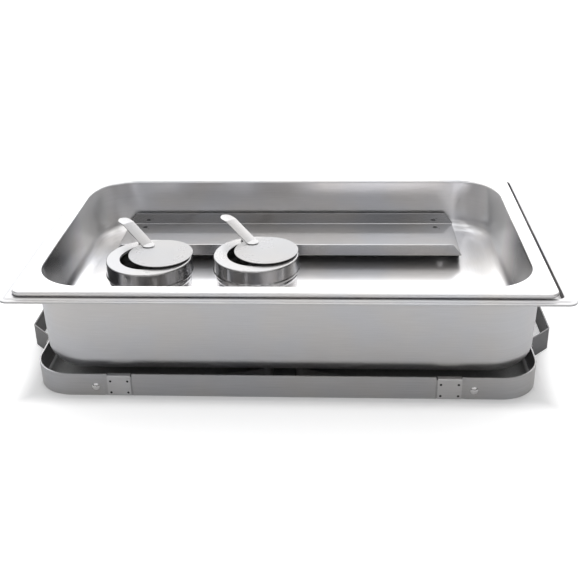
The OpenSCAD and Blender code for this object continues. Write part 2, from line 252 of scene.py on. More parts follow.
def tray_floor(bm, half_x, half_y, height, sides=(26, 44)):
    """Flat grid inside a tray's corner centres, with texture u along the length."""
    xs = [half_x * (2 * i / sides[1] - 1) for i in range(sides[1] + 1)]
    ys = [half_y * (2 * i / sides[0] - 1) for i in range(sides[0] + 1)]
    skin(bm, [[Vector((x, y, height)) for x in reversed(xs)] for y in ys])


def tray_rows(line, half_x, half_y, corner):
    """Loops of a drawn tray, from its floor outwards. The line gives radius from the corner's axis and height."""
    return [lifted(rounded_rect(half_x - corner + p[0], half_y - corner + p[0], max(p[0], 0)), p[1])
            for p in line]


# ---- Finishes ----

def add_node(tree, kind, settings=None, **inputs):
    """Adds a node. An input given as a socket is linked; anything else becomes the input's value."""
    made = tree.nodes.new(kind)
    for key, value in (settings or {}).items():
        setattr(made, key, value)
    for key, value in inputs.items():
        put(tree, made.inputs[key.replace("_", " ")], value)
    return made


def put(tree, socket, value):
    if isinstance(value, bpy.types.NodeSocket):
        tree.links.new(value, socket)
    else:
        socket.default_value = value


def calc(tree, operation, first, second=0.0, clamp=False):
    made = tree.nodes.new("ShaderNodeMath")
    made.operation = operation
    made.use_clamp = clamp
    put(tree, made.inputs[0], first)
    put(tree, made.inputs[1], second)
    return made.outputs[0]


def ranged(tree, value, low, high, to_low, to_high):
    return add_node(tree, "ShaderNodeMapRange", {"interpolation_type": "SMOOTHSTEP"}, Value=value,
                    From_Min=low, From_Max=high, To_Min=to_low, To_Max=to_high).outputs[0]


def mixed(tree, factor, first, second):
    made = add_node(tree, "ShaderNodeMix", {"data_type": "RGBA"})
    put(tree, made.inputs[0], factor)
    put(tree, made.inputs[6], first)
    put(tree, made.inputs[7], second)
    return made.outputs[2]


HAZE_ROUGHNESS = 0.62
# Tone factors of the painted shade and painted light on end walls, at the first and the second place along Y
PAINTED_END_SHADE_TONES = (0.16, 1.3)


def steel(name, tone, roughness, grain=0.3, anisotropy=0.4, haze=0.3, polished_sides=None, wear=0.25,
          painted_end_shade=None, upright_painted_shade=1.0):
    """Brushed stainless: grain along texture u, warm and cool patches, faint handling marks, brighter edges.
    haze is the share of light that the surface scatters widely round its reflection. The end-wall pair gives two places
    along Y, and walls that face along X go from painted shade at the first to painted light at the second.
    upright_painted_shade is the share of the tone that upright faces keep."""
    material = bpy.data.materials.new(name)
    material.use_nodes = True
    tree = material.node_tree
    shader = tree.nodes["Principled BSDF"]
    place = add_node(tree, "ShaderNodeTexCoord")
    brushed = add_node(tree, "ShaderNodeMapping", Vector=place.outputs["UV"], Scale=(22, 1500, 1))
    streaks = add_node(tree, "ShaderNodeTexNoise", Vector=brushed.outputs[0], Scale=1.0, Detail=3.0,
                       Roughness=0.6).outputs["Fac"]
    patches = add_node(tree, "ShaderNodeTexNoise", Vector=place.outputs["Object"], Scale=14.0, Detail=2.0,
                       Roughness=0.5).outputs["Fac"]
    marks = add_node(tree, "ShaderNodeTexNoise", Vector=place.outputs["Object"], Scale=38.0, Detail=2.0,
                     Roughness=0.5).outputs["Fac"]
    rounded = add_node(tree, "ShaderNodeBevel", {"samples": 4}, Radius=0.7 * MM)
    surface = add_node(tree, "ShaderNodeNewGeometry")
    facing = add_node(tree, "ShaderNodeVectorMath", {"operation": "DOT_PRODUCT"})
    put(tree, facing.inputs[0], rounded.outputs[0])
    put(tree, facing.inputs[1], surface.outputs["Normal"])
    edges = ranged(tree, facing.outputs["Value"], 0.999, 0.93, 0.0, 1.0)

    cool = (tone * 0.985, tone * 0.99, tone * 1.02, 1)
    warm = (tone * 1.015, tone * 0.995, tone * 0.985, 1)
    bright = (min(1, tone * 1.35),) * 3 + (1,)
    colour = mixed(tree, ranged(tree, patches, 0.35, 0.65, 0.0, 1.0), cool, warm)
    shade = ranged(tree, streaks, 0.2, 0.8, 1 - 0.18 * grain, 1 + 0.18 * grain)
    shaded = add_node(tree, "ShaderNodeVectorMath", {"operation": "SCALE"}, Scale=shade)
    put(tree, shaded.inputs[0], colour)
    colour = mixed(tree, calc(tree, "MULTIPLY", edges, wear), shaded.outputs[0], bright)
    # Painted shade: upright faces keep only a share of the tone, so they look darker than flat faces.
    if upright_painted_shade < 1:
        flatness = add_node(tree, "ShaderNodeSeparateXYZ", Vector=surface.outputs["Normal"]).outputs["Z"]
        painted_shading = add_node(tree, "ShaderNodeVectorMath", {"operation": "SCALE"},
                         Scale=ranged(tree, flatness, 0.4, 0.9, upright_painted_shade, 1.0))
        put(tree, painted_shading.inputs[0], colour)
        colour = painted_shading.outputs[0]
    # Painted shade and light: walls facing along X are darkened at the first place along Y and lightened at the second.
    if painted_end_shade is not None:
        across = add_node(tree, "ShaderNodeSeparateXYZ", Vector=surface.outputs["Normal"]).outputs["X"]
        depth = add_node(tree, "ShaderNodeSeparateXYZ", Vector=place.outputs["Object"]).outputs["Y"]
        endwise = ranged(tree, calc(tree, "ABSOLUTE", across), 0.55, 0.95, 0.0, 1.0)
        change = ranged(tree, depth, *painted_end_shade, PAINTED_END_SHADE_TONES[0] - 1, PAINTED_END_SHADE_TONES[1] - 1)
        painted_shading = add_node(tree, "ShaderNodeVectorMath", {"operation": "SCALE"},
                         Scale=calc(tree, "ADD", 1.0, calc(tree, "MULTIPLY", endwise, change)))
        put(tree, painted_shading.inputs[0], colour)
        colour = painted_shading.outputs[0]

    rough = roughness
    if polished_sides is not None:
        upright = add_node(tree, "ShaderNodeSeparateXYZ", Vector=surface.outputs["Normal"]).outputs["Z"]
        rough = ranged(tree, upright, 0.5, 0.95, polished_sides, roughness)
        haze = ranged(tree, upright, 0.5, 0.95, haze * polished_sides / roughness, haze)
    rough = calc(tree, "ADD", rough, ranged(tree, streaks, 0.2, 0.8, -0.05 * grain, 0.05 * grain))
    rough = calc(tree, "ADD", rough, ranged(tree, marks, 0.3, 0.7, -0.01, 0.015))
    rough = calc(tree, "SUBTRACT", rough, calc(tree, "MULTIPLY", edges, 0.08), clamp=True)
    relief = add_node(tree, "ShaderNodeBump", Height=streaks, Strength=0.12 * grain, Distance=0.05 * MM)
    tangent = add_node(tree, "ShaderNodeTangent", {"direction_type": "UV_MAP"})
    broad = tree.nodes.new("ShaderNodeBsdfPrincipled")
    for lobe, spread in ((shader, rough), (broad, HAZE_ROUGHNESS)):
        put(tree, lobe.inputs["Base Color"], colour)
        put(tree, lobe.inputs["Roughness"], spread)
        put(tree, lobe.inputs["Normal"], relief.outputs[0])
        put(tree, lobe.inputs["Tangent"], tangent.outputs[0])
        lobe.inputs["Metallic"].default_value = 1.0
        lobe.inputs["Anisotropic"].default_value = anisotropy
    blend = tree.nodes.new("ShaderNodeMixShader")
    put(tree, blend.inputs[0], haze)
    put(tree, blend.inputs[1], shader.outputs[0])
    put(tree, blend.inputs[2], broad.outputs[0])
    put(tree, tree.nodes["Material Output"].inputs["Surface"], blend.outputs[0])
    return material


def fibre(name, tone):
    """Near-black matte with a faint mottle; on the washers it is painted shadow for the dark gap under each lever."""
    material = bpy.data.materials.new(name)
    material.use_nodes = True
    tree = material.node_tree
    shader = tree.nodes["Principled BSDF"]
    place = add_node(tree, "ShaderNodeTexCoord")
    mottle = add_node(tree, "ShaderNodeTexNoise", Vector=place.outputs["Object"], Scale=900.0, Detail=4.0)
    colour = mixed(tree, mottle.outputs["Fac"], (tone * 0.5,) * 3 + (1,), (tone * 1.6,) * 3 + (1,))
    put(tree, shader.inputs["Base Color"], colour)
    put(tree, shader.inputs["Roughness"], ranged(tree, mottle.outputs["Fac"], 0.3, 0.7, 0.6, 0.85))
    relief = add_node(tree, "ShaderNodeBump", Height=mottle.outputs["Fac"], Strength=0.4, Distance=0.1 * MM)
    put(tree, shader.inputs["Normal"], relief.outputs[0])
    return material


# The food pan's end walls get painted shade towards the front and painted light towards the back.
PAN_STEEL = steel("pan_satin_steel", tone=0.84, roughness=0.22, grain=0.25, anisotropy=0.3, haze=0.36,
                  painted_end_shade=(-55 * MM, 75 * MM))
WATER_STEEL = steel("water_pan_satin_steel", tone=0.56, roughness=0.36, grain=0.3, anisotropy=0.3, haze=0.35)
BAND_STEEL = steel("band_steel", tone=0.44, roughness=0.36, grain=0.5, anisotropy=0.45, haze=0.3)
# Darker copy of the band steel for the end handles: painted shade on faces turned to the sides.
HANDLE_PAINTED_SHADE_STEEL = steel("handle_steel_painted_shade", tone=0.16, roughness=0.3, grain=0.5, anisotropy=0.45, haze=0.2)
PLATE_STEEL = steel("splice_plate_steel", tone=0.54, roughness=0.4, grain=0.35, anisotropy=0.2)
# The shelf's upright flanges keep 0.55 of the tone: painted shade.
SHELF_STEEL = steel("shelf_rolled_steel", tone=0.64, roughness=0.09, grain=0.3, anisotropy=0.2, haze=0.45,
                    polished_sides=0.04, upright_painted_shade=0.55)
# The cap's upright skirt keeps 0.75 of the tone: painted dark reflection.
CAP_STEEL = steel("cap_steel", tone=0.44, roughness=0.28, grain=0.08, anisotropy=0.1, polished_sides=0.1,
                  upright_painted_shade=0.75)
CUP_STEEL = steel("cup_steel", tone=0.5, roughness=0.16, grain=0.2, anisotropy=0.1, haze=0.15)
DISC_STEEL = steel("disc_steel", tone=0.35, roughness=0.28, grain=0.06, anisotropy=0.1)
LEVER_STEEL = steel("lever_steel", tone=0.41, roughness=0.2, grain=0.1, anisotropy=0.2, haze=0.15)
RIVET_STEEL = steel("rivet_steel", tone=0.6, roughness=0.16, grain=0.1, anisotropy=0.0, haze=0.1)
WELD_MARK = steel("weld_mark", tone=0.05, roughness=0.6, grain=0.2, anisotropy=0.0, wear=0.0)
# The washers under the levers are near black: painted shadow for the dark gap there.
WASHER_PAINTED_SHADOW_BLACK = fibre("black_fibre", tone=0.02)


# ---- Frame ----

RING_LOW, RING_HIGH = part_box("end_hoop_right")
RING_CORNER = 40 * MM
TONGUE = 8 * MM
JOGGLE = 0.6 * MM
JOGGLE_LEAD = 2.5 * MM
JOGGLE_RUN = 2.5 * MM
SPLICE_GAP = 0.8 * MM
PLATE_LOW, PLATE_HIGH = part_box("splice_plate_front_right")
TONGUE_TOP = PLATE_HIGH.z - 1.7 * MM
HOOP_BEND_X = RING_HIGH.x - RING_CORNER


def band_rows(path, levels, low, high):
    """Rows of an upright band along a plan path; low and high give its edges at each point of the path."""
    return [[Vector((p.x, p.y, low(p) + (high(p) - low(p)) * level)) for p in path] for level in levels]


def band(node, path, low, high, seed, levels=(0, 0.12, 0.5, 0.88, 1), gauge=None, look=None):
    bm = bmesh.new()
    skin(bm, band_rows(path, levels, low, high))
    ripple(bm, 0.12 * MM, 35 * MM, seed)
    return piece(node + "_band", bm, look or BAND_STEEL, [node], BAND_SHEET, gauge=gauge)


def flat_inside(point):
    """Share of the band's thickness that keeps its inner face flat where the outer face is stepped in."""
    return min(1, max(0, 1 - (RING_HIGH.y - abs(point.y)) / BAND_SHEET)) if abs(point.x) < HOOP_BEND_X else 1


def mirrored(path, end):
    """The path as it is for end 1; for end -1 its mirror image in X, still anticlockwise."""
    return path if end > 0 else [Vector((-p.x, p.y)) for p in reversed(path)]


def band_edges(bottom, top):
    """Edge heights of a band whose end behind a splice plate is cut down to a tongue."""
    def high(p):
        return TONGUE_TOP if abs(p.x) < PLATE_HIGH.x and abs(p.y) > RING_HIGH.y - 2 * BAND_SHEET else top
    return (lambda p: bottom), high


def build_hoop(end, node, seed):
    start = PLATE_HIGH.x - TONGUE
    face = RING_HIGH.y
    back = face - JOGGLE
    joggle_x = PLATE_HIGH.x + JOGGLE_LEAD
    corners = [(start, -back, 0), (PLATE_HIGH.x - 0.1 * MM, -back, 0), (PLATE_HIGH.x + 0.1 * MM, -back, 0),
               (joggle_x, -back, 2 * MM),
               (joggle_x + JOGGLE_RUN, -face, 2 * MM), (RING_HIGH.x, -face, RING_CORNER)]
    half = bent_line(corners + [(RING_HIGH.x, 0, 0)], steps=16)
    path = half + [Vector((p.x, -p.y)) for p in reversed(half[:-1])]
    low, high = band_edges(RING_LOW.z, RING_HIGH.z)
    band(node, divided(mirrored(path, end), 12 * MM), low, high, seed, gauge=flat_inside)


def build_rail(side, node, seed):
    end = PLATE_LOW.x - SPLICE_GAP
    face = RING_HIGH.y
    back = face - JOGGLE
    half = bent_line([(0, face, 0), (end - 1.2 * MM, face, 1 * MM), (end, back, 1 * MM), (end + TONGUE, back, 0)])
    path = [Vector((p.x, side * p.y)) for p in half]
    path = [Vector((-p.x, p.y)) for p in reversed(path[1:])] + path
    if side > 0:
        path.reverse()

    def high(p):
        return TONGUE_TOP if abs(p.x) > end - 0.6 * MM else RING_HIGH.z

    band(node, divided(path, 12 * MM), lambda p: RING_LOW.z, high, seed, gauge=flat_inside)


WELD_INSET = 3.2 * MM
WELD_RADIUS = 1.25 * MM
WELD_DEPTH = 0.5 * MM
PLATE_BEND = 1.6 * MM


def build_splice_plate(node):
    """A folded clip: its front face stands over the joint, and its top is turned in over the bands."""
    low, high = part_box(node)
    side = -1 if low.y < 0 else 1
    face = low.y if side < 0 else high.y
    back = high.y if side < 0 else low.y
    cell = 2.1 * MM
    weld_x = [low.x + (high.x - low.x) / 2 + s * ((high.x - low.x) / 2 - WELD_INSET) for s in (-1, 1)]
    weld_z = [low.z + WELD_INSET, high.z - 2 * WELD_INSET]
    xs = sorted([low.x, high.x] + [x + s * cell for x in weld_x for s in (-1, 1)])
    line = bent_line([(face, low.z, 0), (face, high.z, PLATE_BEND), (back, high.z, 0)])
    upright = sorted([z + s * cell for z in weld_z for s in (-1, 1)])
    line = [line[0]] + [Vector((face, z)) for z in upright] + line[1:]
    bm = bmesh.new()
    skin(bm, [[Vector((x, p[0], p[1])) for x in xs] for p in line])
    for x in weld_x:
        for z in weld_z:
            dent(bm, Vector((x, face, z)), WELD_RADIUS, WELD_DEPTH, Vector((0, -side, 0)), 1)
    piece(node + "_clip", bm, [PLATE_STEEL, WELD_MARK], [node], PLATE_SHEET, flip=side > 0)


HANDLE_FOOT = 14 * MM


def build_handle(end, node, seed):
    low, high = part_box("end_handle_right")
    foot_x = low.x + BAND_SHEET
    knee = high.y - HANDLE_FOOT
    grip = knee - (high.x - foot_x)
    half = [(foot_x, -high.y, 0), (foot_x, -knee, 3 * MM), (high.x, -grip, 6 * MM)]
    corners = half + [(x, -y, r) for x, y, r in reversed(half)]
    path = mirrored(divided(bent_line(corners), 12 * MM), end)
    # The handles take the darker steel: painted shade.
    band(node, path, lambda p: low.z, lambda p: high.z, seed, look=HANDLE_PAINTED_SHADE_STEEL)


RIVET_HEAD = 4.5 * MM
RIVET_HEIGHT = 2.2 * MM
RIVET_SHANK = 2.5 * MM
RIVET_TAIL = 4 * MM
RIVET_TAIL_HEIGHT = 1 * MM


def dome_line(radius, height, steps=8):
    """Line of a dome from its crown to its edge, as (radius, height)."""
    sphere = (radius ** 2 + height ** 2) / (2 * height)
    rise = math.asin(radius / sphere)
    return [(sphere * math.sin(rise * i / steps), height - sphere + sphere * math.cos(rise * i / steps))
            for i in range(steps + 1)]


def build_leg_rivets():
    low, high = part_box("leg_pivot_rivets")
    pivot_x = high.x - RIVET_HEAD
    pivot_z = (low.z + high.z) / 2
    seat = high.y - RIVET_HEIGHT
    tail = RING_HIGH.y - BAND_SHEET - LEG_SHEET - 0.3 * MM - seat
    line = dome_line(RIVET_HEAD, RIVET_HEIGHT) + [(RIVET_HEAD, -0.05 * MM), (RIVET_SHANK, -0.05 * MM),
                                                 (RIVET_SHANK, tail), (RIVET_TAIL, tail),
                                                 (RIVET_TAIL, tail - RIVET_TAIL_HEIGHT / 2),
                                                 (RIVET_SHANK, tail - RIVET_TAIL_HEIGHT), (0, tail - RIVET_TAIL_HEIGHT)]
    bm = bmesh.new()
    for x in (-pivot_x, pivot_x):
        for side in (-1, 1):
            one = bmesh.new()
            lathe(one, line, Vector((0, 0)), steps=40)
            bmesh.ops.reverse_faces(one, faces=one.faces)
            place = Matrix.Translation((x, side * seat, pivot_z)) @ Matrix.Rotation(math.radians(-90 * side), 4, "X")
            bmesh.ops.transform(one, matrix=place, verts=one.verts)
            join(bm, one)
    piece("leg_rivets", bm, RIVET_STEEL, ["leg_pivot_rivets"], edge=0)


def join(bm, other):
    """Adds another mesh under construction to this one, and frees it."""
    scratch = bpy.data.meshes.new("scratch")
    other.to_mesh(scratch)
    other.free()
    bm.from_mesh(scratch)
    bpy.data.meshes.remove(scratch)


# ---- Legs ----

LEG_CROSS_HALF = 134 * MM
LEG_STRAIGHT = 107.4 * MM
LEG_PIN_HOLE = 2.55 * MM


def build_leg(end, node, seed):
    """A strip on edge, bent to a U, with round ends drilled for the rivets."""
    low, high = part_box("leg_right")
    round_end = (high.z - low.z) / 2
    pivot_x = high.x - round_end
    pivot_z = low.z + round_end
    face = high.y
    cell = 5 * MM
    tips = [round_end * math.cos(math.radians(a)) for a in (0, 12, 24, 36, 48)]
    ends = [(pivot_x + dx, face, 0) for dx in tips] + [(pivot_x + cell, face, 0), (pivot_x - cell, face, 0)]
    corners = ends + [(pivot_x - LEG_STRAIGHT, face, 15 * MM), (low.x, LEG_CROSS_HALF, 12 * MM)]
    half = bent_line(corners + [(low.x, 0, 0)], steps=10)
    path = half + [Vector((p.x, -p.y)) for p in reversed(half[:-1])]
    path = mirrored(long_steps(path, 14 * MM, keep=2 * cell), end)

    def reach(p):
        past = max(0, abs(p.x) - pivot_x)
        return math.sqrt(max(0, round_end ** 2 - past ** 2)) if past < round_end else 0

    bm = bmesh.new()
    skin(bm, band_rows(path, (0, 0.25, 0.75, 1), lambda p: pivot_z - reach(p), lambda p: pivot_z + reach(p)))
    for side in (-1, 1):
        punch(bm, Vector((end * pivot_x, side * face, pivot_z)), LEG_PIN_HOLE)
    ripple(bm, 0.1 * MM, 40 * MM, seed)
    piece(node + "_strip", bm, BAND_STEEL, [node], LEG_SHEET)


def long_steps(line, longest, keep):
    """Divides only the stretches of a line that are longer than keep."""
    points = [line[0]]
    for start, end in zip(line, line[1:]):
        length = (end - start).length
        count = max(1, math.ceil(length / longest)) if length > keep * 1.01 else 1
        points += [start.lerp(end, i / count) for i in range(1, count + 1)]
    return points


# ---- Pans ----

WATER_CORNER = 50 * MM
WATER_FILLET = 20 * MM
WATER_DRAFT = 2.5 * MM
WATER_BODY_INSET = (25.5 * MM, 20 * MM)
WATER_LEDGE_DROP = 6.5 * MM
WATER_LEDGE_LAP = 2 * MM
WATER_RIM_BAND = 11.6 * MM
WATER_OPENING_CORNER = 6 * MM
WATER_RIM_CORNER = 10 * MM
WATER_RIM_STEP = 0.9 * MM
WATER_LIP_DROP = 1.1 * MM


def offset_rows(line, half_x, half_y, corner):
    """Loops round a rounded rectangle. The line gives the way out from it and the height."""
    return [lifted(rounded_rect(half_x + d, half_y + d, corner + d), z) for d, z in line]


def between(inner, outer, steps):
    """Even loops between two loops, without the two themselves."""
    return [[a.lerp(b, i / steps) for a, b in zip(inner, outer)] for i in range(1, steps)]


def build_water_pan():
    """The skin is the pan's outside and underside; it goes from the floor up to the lip."""
    low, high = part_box("water_pan")
    centre = (low + high) / 2
    rim_x = (high.x - low.x) / 2
    rim_y = (high.y - low.y) / 2
    half_x = rim_x - WATER_BODY_INSET[0]
    half_y = rim_y - WATER_BODY_INSET[1]
    flat_z = high.z - PAN_SHEET
    ledge_z = flat_z - WATER_LEDGE_DROP
    wall_top = WATER_CORNER + WATER_DRAFT
    body = bent_line([(0, low.z, 0), (WATER_CORNER, low.z, WATER_FILLET), (wall_top, ledge_z, 1 * MM),
                      (wall_top + WATER_LEDGE_LAP, ledge_z, 0)], steps=10)
    opening = bent_line([(-WATER_LEDGE_LAP, ledge_z, 0), (PAN_SHEET, ledge_z, 1.6 * MM), (PAN_SHEET, flat_z, 0.5 * MM),
                         (WATER_LEDGE_LAP, flat_z, 0)], steps=6)
    lip_z = flat_z - WATER_RIM_STEP
    rim = bent_line([(-9 * MM, flat_z, 0), (-6.8 * MM, flat_z, 1 * MM), (-4.2 * MM, lip_z, 1 * MM),
                     (-PAN_SHEET, lip_z, 0.6 * MM), (-PAN_SHEET, lip_z - WATER_LIP_DROP, 0)], steps=6)
    body_rows = tray_rows(divided(body, 14 * MM), half_x, half_y, WATER_CORNER)
    opening_rows = offset_rows(opening, rim_x - WATER_RIM_BAND, rim_y - WATER_RIM_BAND, WATER_OPENING_CORNER)
    rim_rows = offset_rows(rim, rim_x, rim_y, WATER_RIM_CORNER)
    bm = bmesh.new()
    tray_floor(bm, half_x - WATER_CORNER, half_y - WATER_CORNER, low.z)
    skin(bm, body_rows + between(body_rows[-1], opening_rows[0], 3) + opening_rows + rim_rows, closed=True)
    ripple(bm, 0.1 * MM, 60 * MM, 3.1)
    bmesh.ops.translate(bm, verts=bm.verts, vec=(centre.x, centre.y, 0))
    piece("water_pan_sheet", bm, WATER_STEEL, ["water_pan"], PAN_SHEET)


FOOD_CORNER = 52 * MM
FOOD_OPENING_INSET = 15.5 * MM
FOOD_DRAFT = 3 * MM
FOOD_FILLET = 16 * MM
FOOD_ROLL = 3.5 * MM
FOOD_RIM_CORNER = 10 * MM
FOOD_RIM_STEP = 0.3 * MM
FOOD_BEAD = 2.7 * MM
FOOD_BEAD_DROP = 5.9 * MM
FLANGE_STEPS = 6


def build_food_pan():
    low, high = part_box("food_pan")
    centre = (low + high) / 2
    rim_x = (high.x - low.x) / 2
    rim_y = (high.y - low.y) / 2
    half_x = rim_x - FOOD_OPENING_INSET
    half_y = rim_y - FOOD_OPENING_INSET
    floor_z = low.z + PAN_SHEET
    foot = FOOD_CORNER - FOOD_DRAFT
    line = bent_line([(0, floor_z, 0), (foot, floor_z, FOOD_FILLET), (FOOD_CORNER, high.z, FOOD_ROLL),
                      (FOOD_CORNER + 4 * MM, high.z, 0)], steps=12)
    bm = bmesh.new()
    tray_floor(bm, half_x - FOOD_CORNER, half_y - FOOD_CORNER, floor_z)
    rows = tray_rows(divided(line, 12 * MM), half_x, half_y, FOOD_CORNER)
    edge_z = high.z - FOOD_RIM_STEP
    under_z = high.z - FOOD_BEAD_DROP
    bead = bent_line([(-6 * MM, high.z, 0), (-5 * MM, edge_z, 0.6 * MM), (0, edge_z, FOOD_BEAD),
                      (0, under_z, FOOD_BEAD), (-3.3 * MM, under_z, 0)], steps=10)
    outer = offset_rows(bead, rim_x, rim_y, FOOD_RIM_CORNER)
    skin(bm, rows + between(rows[-1], outer[0], FLANGE_STEPS) + outer, closed=True)
    ripple(bm, 0.08 * MM, 70 * MM, 7.7)
    bmesh.ops.translate(bm, verts=bm.verts, vec=(centre.x, centre.y, 0))
    piece("food_pan_sheet", bm, PAN_STEEL, ["food_pan"], PAN_SHEET, flip=True)


# ---- Burner shelf ----

SHELF_BEND = 2 * MM
SHELF_MITRE = 10 * MM
SHELF_HOLE = 3 * MM
SHELF_HOLE_IN = 22.7 * MM
SHELF_HOLE_SIDE = 13 * MM
LIP_MITRE = 18 * MM
LIP_BEND = 1.5 * MM


def build_shelf():
    low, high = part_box("burner_shelf")
    centre = (low + high) / 2
    half = (high.x - low.x) / 2
    side = (high.y - low.y) / 2
    floor_z = high.z - 14.5 * MM
    hole_x = half - SHELF_HOLE_IN
    hole_y = side - SHELF_HOLE_SIDE
    cell = 5.5 * MM
    section = bent_line([(-side, high.z, 0), (-side, floor_z, SHELF_BEND), (side, floor_z, SHELF_BEND),
                         (side, high.z, 0)], steps=6)
    cuts = [Vector((s * hole_y + t * cell, floor_z)) for s in (-1, 1) for t in (-1, 1)]
    lines = sorted(cuts, key=lambda p: p[0])
    flat = [i for i, p in enumerate(section) if abs(p[1] - floor_z) < 1e-7]
    inner = [lines[0], lines[1], Vector((-14 * MM, floor_z)), Vector((14 * MM, floor_z)), lines[2], lines[3]]
    section = section[:flat[0] + 1] + inner + section[flat[-1]:]
    spots = [-half + LIP_BEND] + [s * hole_x + t * cell for s in (-1, 1) for t in (-1, 1)] + [half - LIP_BEND]
    spots = sorted(spots)
    spots = spots[:3] + [i * 20 * MM for i in range(-8, 9)] + spots[3:]

    def reach(height):
        above = max(0, height - floor_z - SHELF_BEND)
        return half - SHELF_MITRE * above / (high.z - floor_z - SHELF_BEND)

    def row(p):
        end = reach(p[1]) if p[1] > floor_z + 1e-7 else half - LIP_BEND
        return [Vector((-end, p[0], p[1]))] + [Vector((x, p[0], p[1])) for x in spots[1:-1]] \
            + [Vector((end, p[0], p[1]))]

    bm = bmesh.new()
    skin(bm, [row(p) for p in section])
    weld(bm)
    for x in (-hole_x, hole_x):
        for y in (-hole_y, hole_y):
            punch(bm, Vector((x, y, floor_z)), SHELF_HOLE)
    floor = [p for p in section if abs(p[1] - floor_z) < 1e-7]
    lip = bent_line([(half - LIP_BEND, floor_z, 0), (half - SHELF_SHEET, floor_z, 0.5 * MM),
                     (half - SHELF_SHEET, low.z, 0)], steps=5)
    for end in (-1, 1):
        rows = []
        for x, z in lip:
            narrow = 1 - (floor_z - z) / (floor_z - low.z) * LIP_MITRE / floor[-1][0]
            rows.append([Vector((end * x, -end * p[0] * narrow, z)) for p in floor])
        skin(bm, rows)
    ripple(bm, 0.05 * MM, 50 * MM, 11.3)
    bmesh.ops.translate(bm, verts=bm.verts, vec=(centre.x, centre.y, 0))
    piece("burner_shelf_sheet", bm, SHELF_STEEL, ["burner_shelf"], SHELF_SHEET, flip=True)


# ---- Fuel holders ----

CAP_RADIUS = 45.1 * MM
CAP_FLARE = 0.8 * MM
FLAME_RADIUS = 30.5 * MM
CUP_RADIUS = 43.5 * MM
CUP_BEAD_DROP = 22 * MM
CUP_BEAD = 0.8 * MM
DISC_RADIUS = 34 * MM
EAR_RADIUS = 5.5 * MM
STUD_RADIUS = 1.5 * MM
STUD_HEAD = 4 * MM
LEVER_WIDTH = 13.5 * MM
LEVER_ROOT = 18.5 * MM
LEVER_SKEW = math.radians(10)
LEVER_FLAT = 8 * MM
LEVER_RISE_RUN = 32.4 * MM
LEVER_TIP_RUN = 13 * MM
LEVER_SLOPE = math.radians(26.5)
LEVER_TIP_SLOPE = math.radians(8)
PIP_AT = 0.72
PIP_RADIUS = 1.5 * MM


def build_cup(side):
    node = "fuel_cup_" + side
    low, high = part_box(node)
    bead_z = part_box("fuel_cap_" + side)[1].z - CUP_BEAD_DROP
    line = bent_line([(0, low.z, 0), (CUP_RADIUS, low.z, 3 * MM), (CUP_RADIUS, bead_z - 2.2 * MM, 1 * MM),
                      (CUP_RADIUS + CUP_BEAD, bead_z, 1.5 * MM), (CUP_RADIUS, bead_z + 2.2 * MM, 1 * MM),
                      (CUP_RADIUS, high.z, 0)])
    bm = bmesh.new()
    lathe(bm, divided(line, 6 * MM), middle(node))
    piece(node + "_shell", bm, CUP_STEEL, [node], CUP_SHEET)


def build_cap(side):
    node = "fuel_cap_" + side
    low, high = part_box(node)
    edge = CAP_RADIUS + CAP_FLARE
    line = bent_line([(FLAME_RADIUS, high.z - 2.2 * MM, 0), (FLAME_RADIUS, high.z, 1.2 * MM),
                      (CAP_RADIUS, high.z, 1.8 * MM), (edge - 0.3 * MM, low.z + 3 * MM, 1 * MM),
                      (edge + 0.5 * MM, low.z + 1.5 * MM, 0.8 * MM), (edge, low.z, 0)])
    bm = bmesh.new()
    lathe(bm, divided(line, 5 * MM), middle(node))
    piece(node + "_shell", bm, CAP_STEEL, [node], CAP_SHEET, flip=True)


def damper_frame(side):
    """Places the damper's own axes: origin at the disc's centre, +X towards its pivot, +Z up."""
    low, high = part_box("damper_disc_" + side)
    pivot = PIVOT_OF[side + "_damper_swing"]
    centre = Vector((low.x + DISC_RADIUS, low.y + DISC_RADIUS, low.z))
    heading = math.atan2(pivot.y - centre.y, pivot.x - centre.x)
    reach = math.hypot(pivot.y - centre.y, pivot.x - centre.x)
    return Matrix.Translation(centre) @ Matrix.Rotation(heading, 4, "Z"), reach


def build_disc(side):
    """A round disc with an ear, drawn as rings that shrink to the disc's centre."""
    node = "damper_disc_" + side
    place, reach = damper_frame(side)
    join_angle = math.asin(EAR_RADIUS / DISC_RADIUS) * 1.25
    outline = []
    for i in range(97):
        a = join_angle + (math.radians(360) - 2 * join_angle) * i / 96
        outline.append(Vector((DISC_RADIUS * math.cos(a), DISC_RADIUS * math.sin(a))))
    for i in range(13):
        a = math.radians(-90) + math.radians(180) * i / 12
        outline.append(Vector((reach + EAR_RADIUS * math.cos(a), EAR_RADIUS * math.sin(a))))
    crown = 0.25 * MM
    rows = []
    for scale in (1, 0.985, 0.9, 0.75, 0.5, 0.25, 0):
        height = DISC_SHEET - crown * (1 - min(1, 2 * (1 - scale)))
        rows.append([Vector((p.x * scale, p.y * scale, height)) for p in outline])
    bm = bmesh.new()
    skin(bm, rows, closed=True)
    bmesh.ops.transform(bm, matrix=place, verts=bm.verts)
    piece(node + "_plate", bm, DISC_STEEL, [node], DISC_SHEET - crown)


